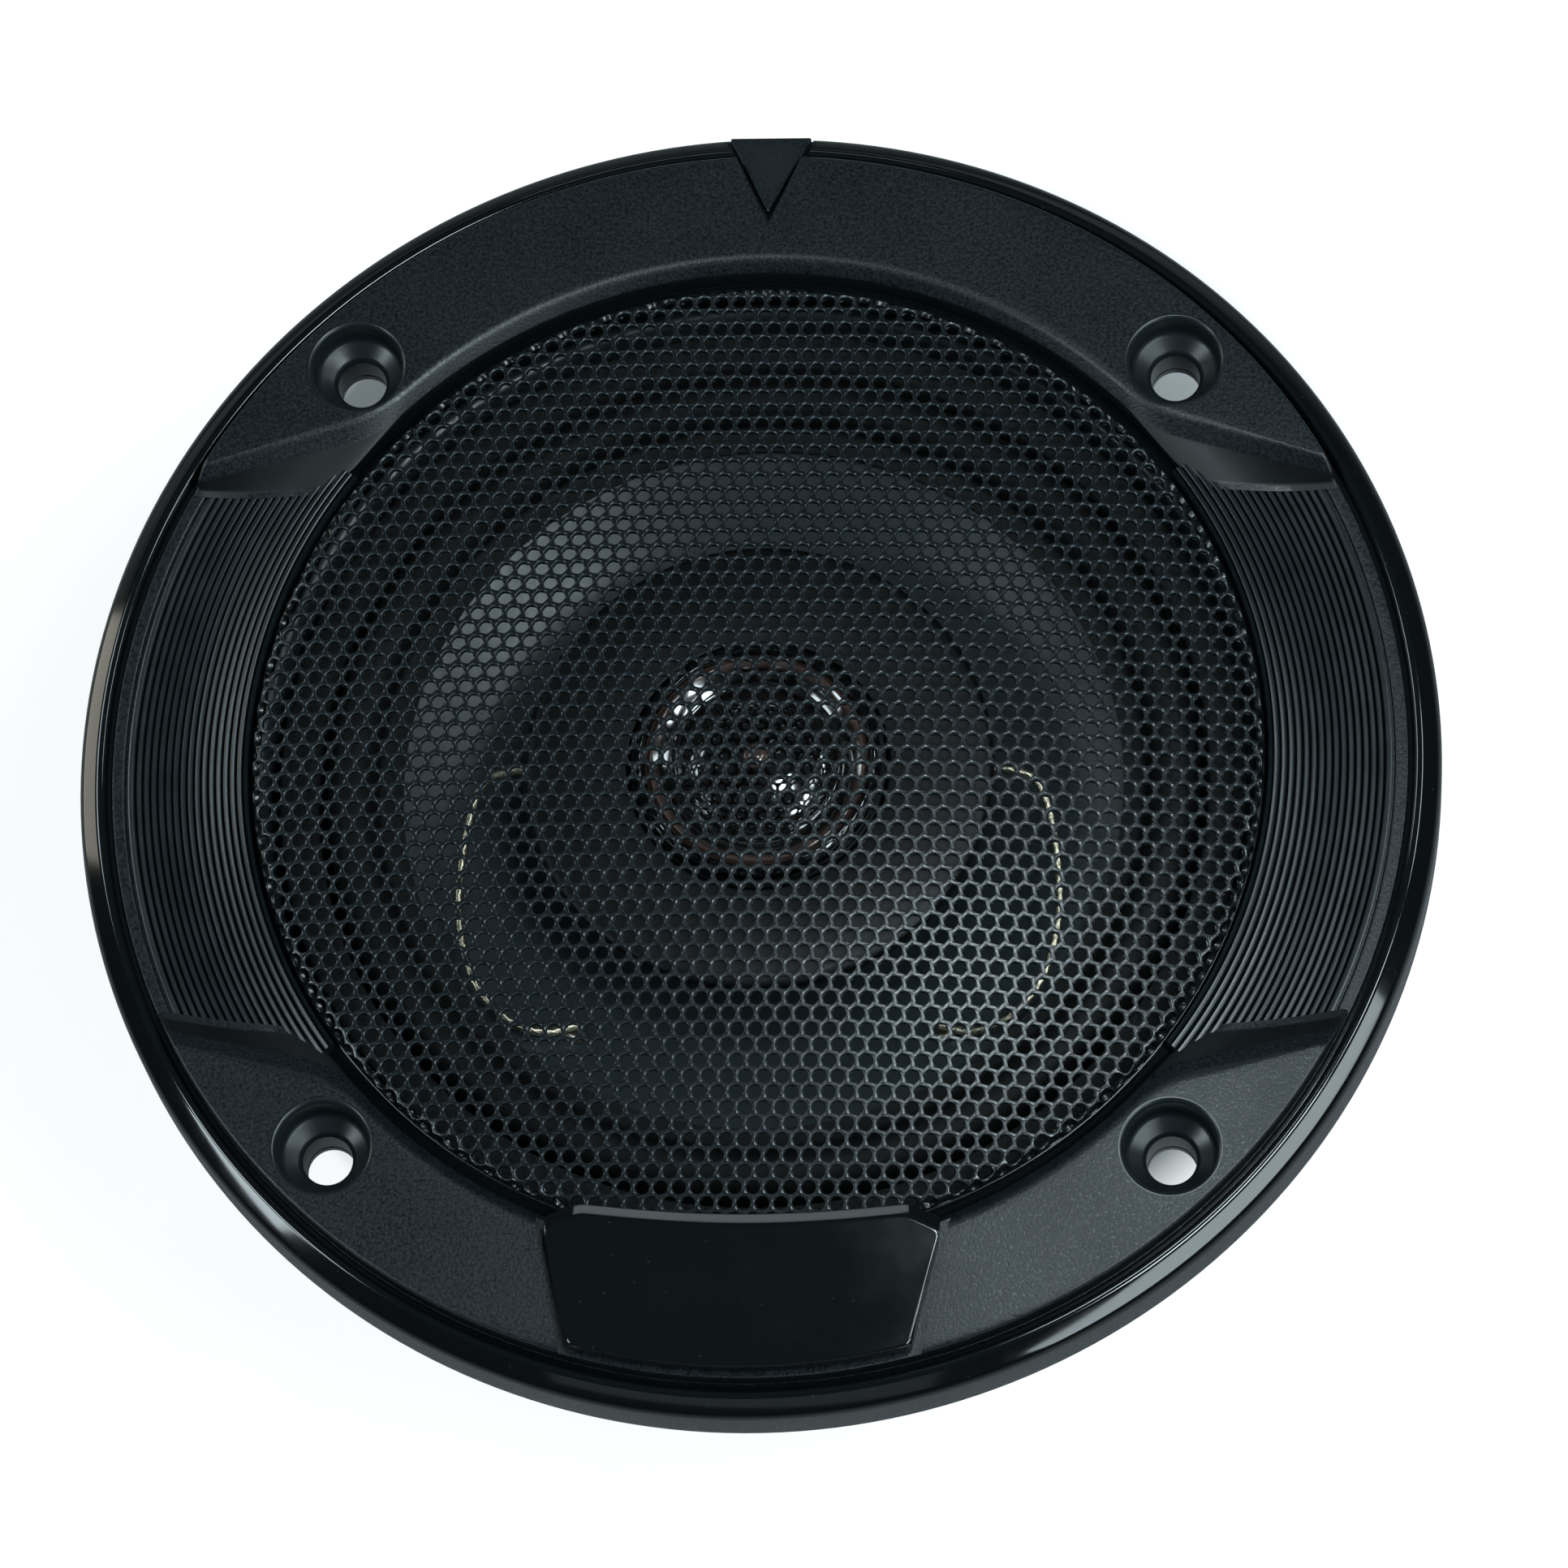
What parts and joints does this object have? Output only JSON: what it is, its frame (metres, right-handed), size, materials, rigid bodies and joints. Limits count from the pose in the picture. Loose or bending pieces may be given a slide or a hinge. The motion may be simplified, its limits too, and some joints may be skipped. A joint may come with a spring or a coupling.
{
  "type": "coaxial car speaker",
  "caption": "Round coaxial car speaker: stamped basket, cone woofer, post-mounted dome tweeter and screw-on trim grille with a domed perforated steel mesh and ribbed side scoops.",
  "frame": {"origin": "centre of the rear face of the yoke, where the axis of the speaker meets the surface it lies on", "axes": "+Z along the axis towards the listener, +Y towards the notch of the grille, +X to the right seen from the front"},
  "size_m": [0.1798, 0.1796, 0.0693],
  "materials": {
    "plated_steel": "zinc plated",
    "ferrite": "ground ferrite",
    "painted_steel": "satin grey-black paint",
    "former_film": "satin film",
    "copper": "enamelled wire",
    "cone_paper": "matte",
    "surround_rubber": "matte",
    "spider_cloth": "resin dipped",
    "gasket_foam": "matte foam",
    "black_plastic": "satin",
    "nickel": "nickel plated",
    "amber_film": "glossy film",
    "capacitor_sleeve": "sleeved can",
    "brass": "plated",
    "tinsel": "braided",
    "phenolic": "matte board",
    "frame_plastic": "fine grain with a gloss rim",
    "gloss_plastic": "gloss",
    "mesh_steel": "satin charcoal paint"
  },
  "bodies": {
    "chassis": {"yoke": "plated_steel", "magnet": "ferrite", "top_plate": "plated_steel", "basket_rivet_1": "plated_steel", "basket_rivet_2": "plated_steel", "basket_rivet_3": "plated_steel", "basket_rivet_4": "plated_steel", "basket": "painted_steel", "gasket_ring": "gasket_foam", "surround": "surround_rubber", "spider": "spider_cloth", "tweeter_post": "black_plastic", "tweeter_baffle": "black_plastic", "tweeter_cup": "plated_steel", "tweeter_magnet": "nickel", "tweeter_pole_cap": "plated_steel", "tweeter_ring": "black_plastic", "tweeter_capacitor": "capacitor_sleeve", "tweeter_lead_left": "tinsel", "tweeter_lead_right": "tinsel", "rear_lead_left": "tinsel", "rear_lead_right": "tinsel", "terminal_board": "phenolic", "terminal_tab_wide": "brass", "terminal_tab_narrow": "brass"},
    "cone_assembly": {"cone": "cone_paper", "coil_former": "former_film", "voice_coil": "copper", "eyelet_left": "brass", "eyelet_right": "brass"},
    "tweeter_dome": {"tweeter_diaphragm": "amber_film", "tweeter_coil": "copper"},
    "grille": {"grille_frame": "frame_plastic", "screw_boss_ne": "frame_plastic", "screw_boss_nw": "frame_plastic", "screw_boss_sw": "frame_plastic", "screw_boss_se": "frame_plastic", "grille_mesh": "mesh_steel", "mesh_retainer": "black_plastic", "badge_plate": "gloss_plastic"}
  },
  "joints": [
    {"name": "cone_travel", "type": "slide", "parent": "chassis", "child": "cone_assembly", "axis": [0, 0, 1], "range_m": [-0.003, 0.003], "stiffness_N_per_m": 1500, "deforming": ["surround", "spider", "tweeter_lead_left", "tweeter_lead_right", "rear_lead_left", "rear_lead_right"]},
    {"name": "tweeter_travel", "type": "slide", "parent": "chassis", "child": "tweeter_dome", "axis": [0, 0, 1], "range_m": [-0.00025, 0.00025], "stiffness_N_per_m": 300},
    {"name": "grille_lift", "type": "slide", "parent": "chassis", "child": "grille", "axis": [0, 0, 1], "range_m": [0, 0.035]}
  ]
}
